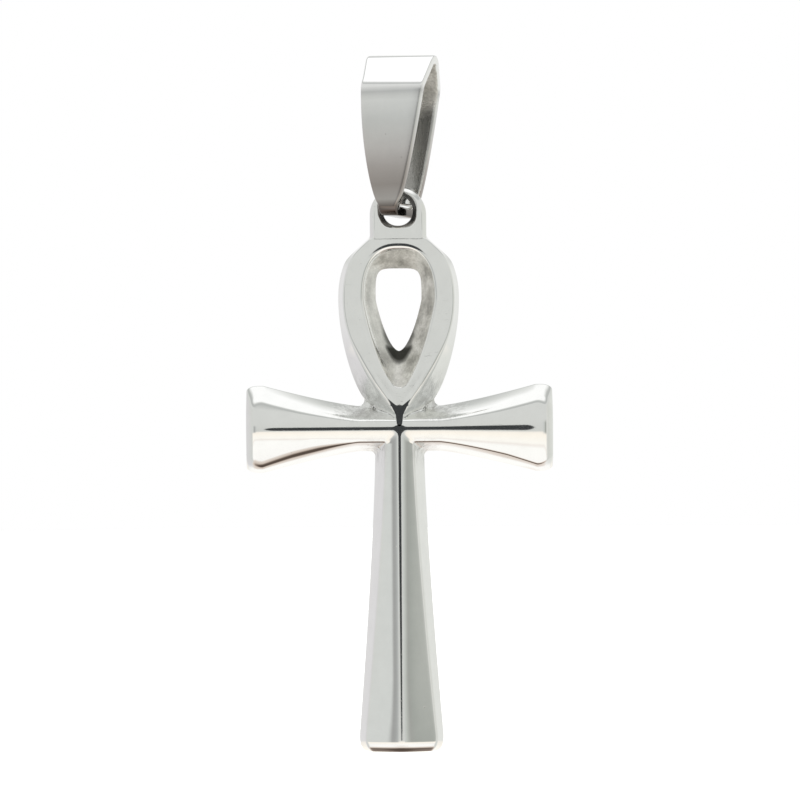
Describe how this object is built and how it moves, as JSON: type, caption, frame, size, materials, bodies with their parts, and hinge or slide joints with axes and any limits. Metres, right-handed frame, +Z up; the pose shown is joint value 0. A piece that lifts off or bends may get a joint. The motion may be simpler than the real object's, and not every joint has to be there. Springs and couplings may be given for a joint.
{
  "type": "ankh pendant",
  "caption": "Polished metal ankh pendant: a cast cross with flared ridged arms and a pierced teardrop loop, hung by its ring on a tapered folded bail.",
  "frame": {"origin": "seat of the chain, at the top inside the bail, in the middle of its width", "axes": "+Z up along the pendant as it hangs, +X to the viewer's right along the arms, +Y to the back, away from the ridged front"},
  "size_m": [0.023, 0.0058, 0.0522],
  "materials": {
    "bail_metal": "polished",
    "ankh_metal": "polished"
  },
  "bodies": {
    "bail": {"bail": "bail_metal"},
    "ankh": {"ankh": "ankh_metal"}
  },
  "joints": [
    {"name": "swing", "type": "hinge", "parent": "bail", "child": "ankh", "pos_m": [-0.00038, 0, -0.01045], "axis": [0.942, -0.3338, -0.0345], "range_deg": [-25, 25]}
  ]
}
